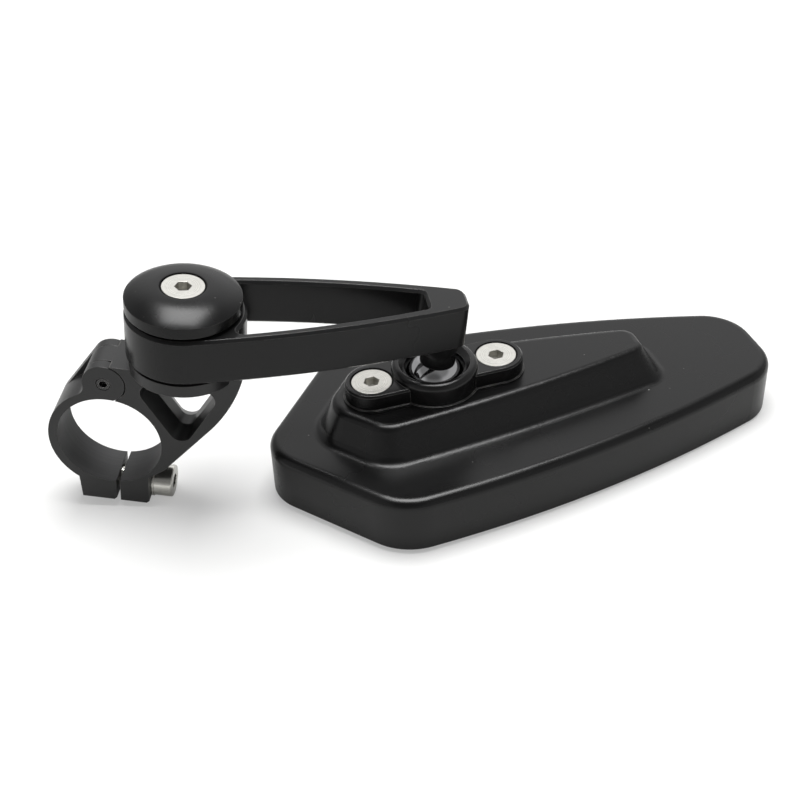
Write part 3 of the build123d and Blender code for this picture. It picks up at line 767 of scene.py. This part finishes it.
class MIRROR_OT_dress_clamp(bpy.types.Operator):
    """Finishes the clamp bracket, its jaw, the hinge pin and the clamp screw"""

    bl_idname = "mirror.dress_clamp"
    bl_label = "Dress Clamp"

    def execute(self, context):
        finish = context.scene.mirror_finishes
        clamp_black = black_finish(
            "clamp_black",
            finish.anodised_color,
            roughness=0.36,
            grain_depth=0.5,
            edge_wear_and_highlight=1.1,
            dust=0.3,
            bore_r=MOUNTS["handlebar_clamp"]["dims"]["r_mm"] * MM,
        )
        dress("clamp_bracket", clamp_black)
        dress("clamp_jaw", clamp_black)
        black_oxide = black_finish(
            "black_oxide",
            finish.oxide_color,
            roughness=0.32,
            grain_depth=0.1,
            # Strong pale edges paint the highlight ring on the pin's chamfers.
            edge_wear_and_highlight=2.0,
            dust=0.0,
            edge_wear_and_highlight_color=OXIDE_EDGE_HIGHLIGHT_COLOR,
        )
        dress("hinge_pin", black_oxide)
        screw_axis = BAR_AXIS.cross(PIVOT_AXIS)
        low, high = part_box("clamp_washer")
        head_end = (low + high) / 2 + screw_axis * CLAMP_HEAD_H
        steel = turned_metal(
            "clamp_screw_steel",
            finish.steel_color,
            roughness=0.2,
            centres=[head_end],
            axis=screw_axis,
            socket_r=CLAMP_SOCKET_R,
        )
        dress("clamp_screw", steel)
        dress("clamp_washer", steel)
        return {"FINISHED"}


class MIRROR_OT_dress_pivot(bpy.types.Operator):
    """Finishes the arm pivot: friction washers, bush, cap and screw"""

    bl_idname = "mirror.dress_pivot"
    bl_label = "Dress Pivot"

    def execute(self, context):
        finish = context.scene.mirror_finishes
        dress("lower_friction_washer", nylon())
        dress("upper_friction_washer", nylon())
        turned_brass = turned_metal(
            "turned_brass",
            finish.brass_color,
            roughness=0.3,
            centres=[PIVOT_PLACE],
            axis=PIVOT_AXIS,
        )
        dress("pivot_bush", turned_brass)
        cap_black = black_finish(
            "cap_black",
            finish.cap_color,
            roughness=0.29,
            grain_depth=0.1,
            edge_wear_and_highlight=0.5,
            dust=0.4,
            cloud=0.03,
            ior=CAP_IOR,
            heads=[PIVOT_PLACE],
            head_axis=PIVOT_AXIS,
        )
        dress("pivot_cap", cap_black)
        head_top = PIVOT_PLACE + PIVOT_AXIS * top_along("pivot_screw", PIVOT_PLACE, PIVOT_AXIS)
        dress("pivot_screw", flat_screw_steel("pivot_screw_steel", [head_top], PIVOT_AXIS))
        return {"FINISHED"}


class MIRROR_OT_dress_arm(bpy.types.Operator):
    """Finishes the arm"""

    bl_idname = "mirror.dress_arm"
    bl_label = "Dress Arm"

    def execute(self, context):
        arm_black = black_finish(
            "arm_black",
            context.scene.mirror_finishes.anodised_color,
            roughness=0.24,
            grain_depth=0.35,
            edge_wear_and_highlight=0.9,
            dust=0.4,
            ior=ARM_IOR,
        )
        dress("mirror_arm", arm_black)
        return {"FINISHED"}


class MIRROR_OT_dress_ball_joint(bpy.types.Operator):
    """Finishes the ball, its liner, the socket plate and its screws"""

    bl_idname = "mirror.dress_ball_joint"
    bl_label = "Dress Ball Joint"

    def execute(self, context):
        dress("ball_stud", polished_ball("ball_steel"))
        dress("ball_liner", nylon())
        offset = HEAD_ALONG * SOCKET_SCREW_PITCH / 2
        head_top = BALL_PLACE + UP * top_along("socket_screws", BALL_PLACE, UP)
        heads = [head_top - offset, head_top + offset]
        gloss_black = black_finish(
            "gloss_black",
            context.scene.mirror_finishes.plate_color,
            roughness=0.22,
            grain_depth=0.06,
            edge_wear_and_highlight=0.9,
            dust=0.4,
            ior=COAT_IOR,
            heads=heads,
        )
        dress("socket_plate", gloss_black)
        dress("socket_screws", flat_screw_steel("socket_screw_steel", heads, UP))
        return {"FINISHED"}


class MIRROR_OT_dress_head(bpy.types.Operator):
    """Finishes the mirror housing, the glass and its pad"""

    bl_idname = "mirror.dress_head"
    bl_label = "Dress Head"

    def execute(self, context):
        finish = context.scene.mirror_finishes
        satin_coat = black_finish(
            "satin_coat",
            finish.coat_color,
            roughness=0.27,
            grain_depth=0.35,
            edge_wear_and_highlight=0.5,
            dust=0.8,
            cloud=0.03,
            ior=COAT_IOR,
        )
        dress("mirror_housing", satin_coat)
        dress("mirror_glass", silvered_glass("silvered_glass"))
        dress("glass_pad", moulded_plastic("foam_tape", finish.foam_color))
        return {"FINISHED"}


def seen_rays(web):
    """Shares of the rays from the camera, and of those from a reflection or through something."""
    path = web.add("ShaderNodeLightPath").outputs
    mirrored = web.math("MAXIMUM", path["Is Glossy Ray"], path["Is Transmission Ray"])
    return path["Is Camera Ray"], mirrored


def studio_floor(stage):
    """Pale floor that the clamp screw and the far end of the head rest on.

    It is clear when seen from below.
    """
    half = stage.floor_size / 2
    mesh = bpy.data.meshes.new("studio_floor")
    corners = [(-half, -half, 0), (half, -half, 0), (half, half, 0), (-half, half, 0)]
    mesh.from_pydata(corners, [], [(0, 1, 2, 3)])
    floor = bpy.data.objects.new("studio_floor", mesh)
    screw_low, screw_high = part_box("clamp_screw")
    head_low, head_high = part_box("mirror_housing")
    near_rest = Vector((screw_high.x, 0.0, screw_low.z))
    far_rest = Vector((head_high.x, 0.0, head_low.z))
    run = far_rest - near_rest
    floor.location = near_rest
    floor.rotation_euler.y = -atan2(run.z, run.x)
    bpy.context.scene.collection.objects.link(floor)
    material = bpy.data.materials.new("studio_floor")
    web = empty_web(material)
    camera, mirrored = seen_rays(web)
    place = web.add("ShaderNodeTexCoord")
    distance = web.vector("LENGTH", place.outputs["Object"], out="Value")
    far = web.ramp(distance, *GLOW_REACH, 0.0, FAR_GLOW)
    seen = web.math("MAXIMUM", camera, web.math("MULTIPLY", mirrored, MIRRORED_GLOW))
    glow = web.math("MULTIPLY", seen, web.math("ADD", far, stage.floor_glow))
    lit = web.add("ShaderNodeBsdfDiffuse", Color=stage.floor_color)
    emission = web.add("ShaderNodeEmission", Color=WHITE, Strength=glow)
    both = web.add("ShaderNodeAddShader")
    web.put(both.inputs[0], lit.outputs[0])
    web.put(both.inputs[1], emission.outputs[0])
    side = web.add("ShaderNodeNewGeometry")
    clear = web.add("ShaderNodeBsdfTransparent")
    shown = web.add("ShaderNodeMixShader", Fac=side.outputs["Backfacing"])
    web.put(shown.inputs[1], both.outputs[0])
    web.put(shown.inputs[2], clear.outputs[0])
    web.add("ShaderNodeOutputMaterial", Surface=shown.outputs[0])
    mesh.materials.append(material)


def studio_world():
    """Even light from all round.

    The camera sees white. Reflections show a white backdrop, and a dimmer room in front
    of it that is darker still overhead and behind the camera.
    """
    world = bpy.data.worlds.new("studio_world")
    bpy.context.scene.world = world
    web = empty_web(world)
    camera, mirrored = seen_rays(web)
    way = web.add("ShaderNodeTexCoord").outputs["Generated"]
    room = web.ramp(web.dot(way, BACKDROP_WAY), *BACKDROP_EDGE, ROOM_LIGHT, BACKDROP_LIGHT)
    ceiling = web.ramp(web.dot(way, UP), *CEILING_EDGE, 1.0, CEILING_SHARE)
    front = web.ramp(web.dot(way, FRONT_WAY), *FRONT_EDGE, 1.0, FRONT_SHARE)
    reflected = web.math("MULTIPLY", room, web.math("MULTIPLY", ceiling, front))
    unseen = web.math("SUBTRACT", 1.0, web.math("MAXIMUM", camera, mirrored))
    direct = web.math("ADD", web.math("MULTIPLY", unseen, EVEN_LIGHT), camera)
    strength = web.math("ADD", direct, web.math("MULTIPLY", mirrored, reflected))
    back = web.add("ShaderNodeBackground", Color=WHITE, Strength=strength)
    web.add("ShaderNodeOutputWorld", Surface=back.outputs[0])


def overhead_softbox(stage):
    """Soft light over the part that points at its middle."""
    middle = (CAD_LOW + CAD_HIGH) / 2
    place = middle + Vector(stage.softbox_offset)
    light = bpy.data.lights.new("overhead_softbox", "AREA")
    light.shape = "RECTANGLE"
    light.size = stage.softbox_width
    light.size_y = stage.softbox_depth
    light.energy = stage.softbox_power
    lamp = bpy.data.objects.new("overhead_softbox", light)
    lamp.location = place
    lamp.rotation_mode = "QUATERNION"
    lamp.rotation_quaternion = (middle - place).to_track_quat("-Z", "Y")
    bpy.context.scene.collection.objects.link(lamp)


def studio_camera(stage):
    """Camera at the view of the photograph."""
    lens = bpy.data.cameras.new("studio_camera")
    lens.lens = stage.camera_lens
    lens.sensor_width = SENSOR_WIDTH
    lens.clip_start = CLIP_START
    camera = bpy.data.objects.new("studio_camera", lens)
    place = Vector(stage.camera_place)
    turn = (Vector(stage.camera_aim) - place).to_track_quat("-Z", "Y").to_matrix()
    turn = turn @ Matrix.Rotation(stage.camera_roll, 3, "Z")
    camera.matrix_world = Matrix.Translation(place) @ turn.to_4x4()
    bpy.context.scene.collection.objects.link(camera)
    bpy.context.scene.camera = camera


class MIRROR_OT_set_stage(bpy.types.Operator):
    """Makes the floor, the world light, the softbox and the camera"""

    bl_idname = "mirror.set_stage"
    bl_label = "Set Stage"

    def execute(self, context):
        stage = context.scene.mirror_stage
        studio_floor(stage)
        studio_world()
        overhead_softbox(stage)
        studio_camera(stage)
        context.scene.view_settings.view_transform = "Standard"
        return {"FINISHED"}


class MIRROR_PT_sidebar(bpy.types.Panel):
    """Lists the mirror's finishes, its pieces and the stage"""

    bl_idname = "MIRROR_PT_sidebar"
    bl_label = "Bar End Mirror"
    bl_space_type = "VIEW_3D"
    bl_region_type = "UI"
    bl_category = "Mirror"

    def draw(self, context):
        for settings in (context.scene.mirror_finishes, context.scene.mirror_stage):
            box = self.layout.box()
            for name in settings.__annotations__:
                box.prop(settings, name)
        for operator in OPERATORS:
            self.layout.operator(operator.bl_idname)


OPERATORS = (
    MIRROR_OT_dress_clamp,
    MIRROR_OT_dress_pivot,
    MIRROR_OT_dress_arm,
    MIRROR_OT_dress_ball_joint,
    MIRROR_OT_dress_head,
    MIRROR_OT_set_stage,
)
CLASSES = (MirrorFinishes, MirrorStage, *OPERATORS, MIRROR_PT_sidebar)


def register():
    """Registers the classes and the scene's settings."""
    for cls in CLASSES:
        bpy.utils.register_class(cls)
    bpy.types.Scene.mirror_finishes = bpy.props.PointerProperty(type=MirrorFinishes)
    bpy.types.Scene.mirror_stage = bpy.props.PointerProperty(type=MirrorStage)


def unregister():
    """Removes the scene's settings and the classes."""
    del bpy.types.Scene.mirror_stage
    del bpy.types.Scene.mirror_finishes
    for cls in reversed(CLASSES):
        bpy.utils.unregister_class(cls)


def main():
    """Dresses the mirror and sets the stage."""
    register()
    bpy.ops.mirror.dress_clamp()
    bpy.ops.mirror.dress_pivot()
    bpy.ops.mirror.dress_arm()
    bpy.ops.mirror.dress_ball_joint()
    bpy.ops.mirror.dress_head()
    bpy.ops.mirror.set_stage()


if __name__ == "__main__":
    main()
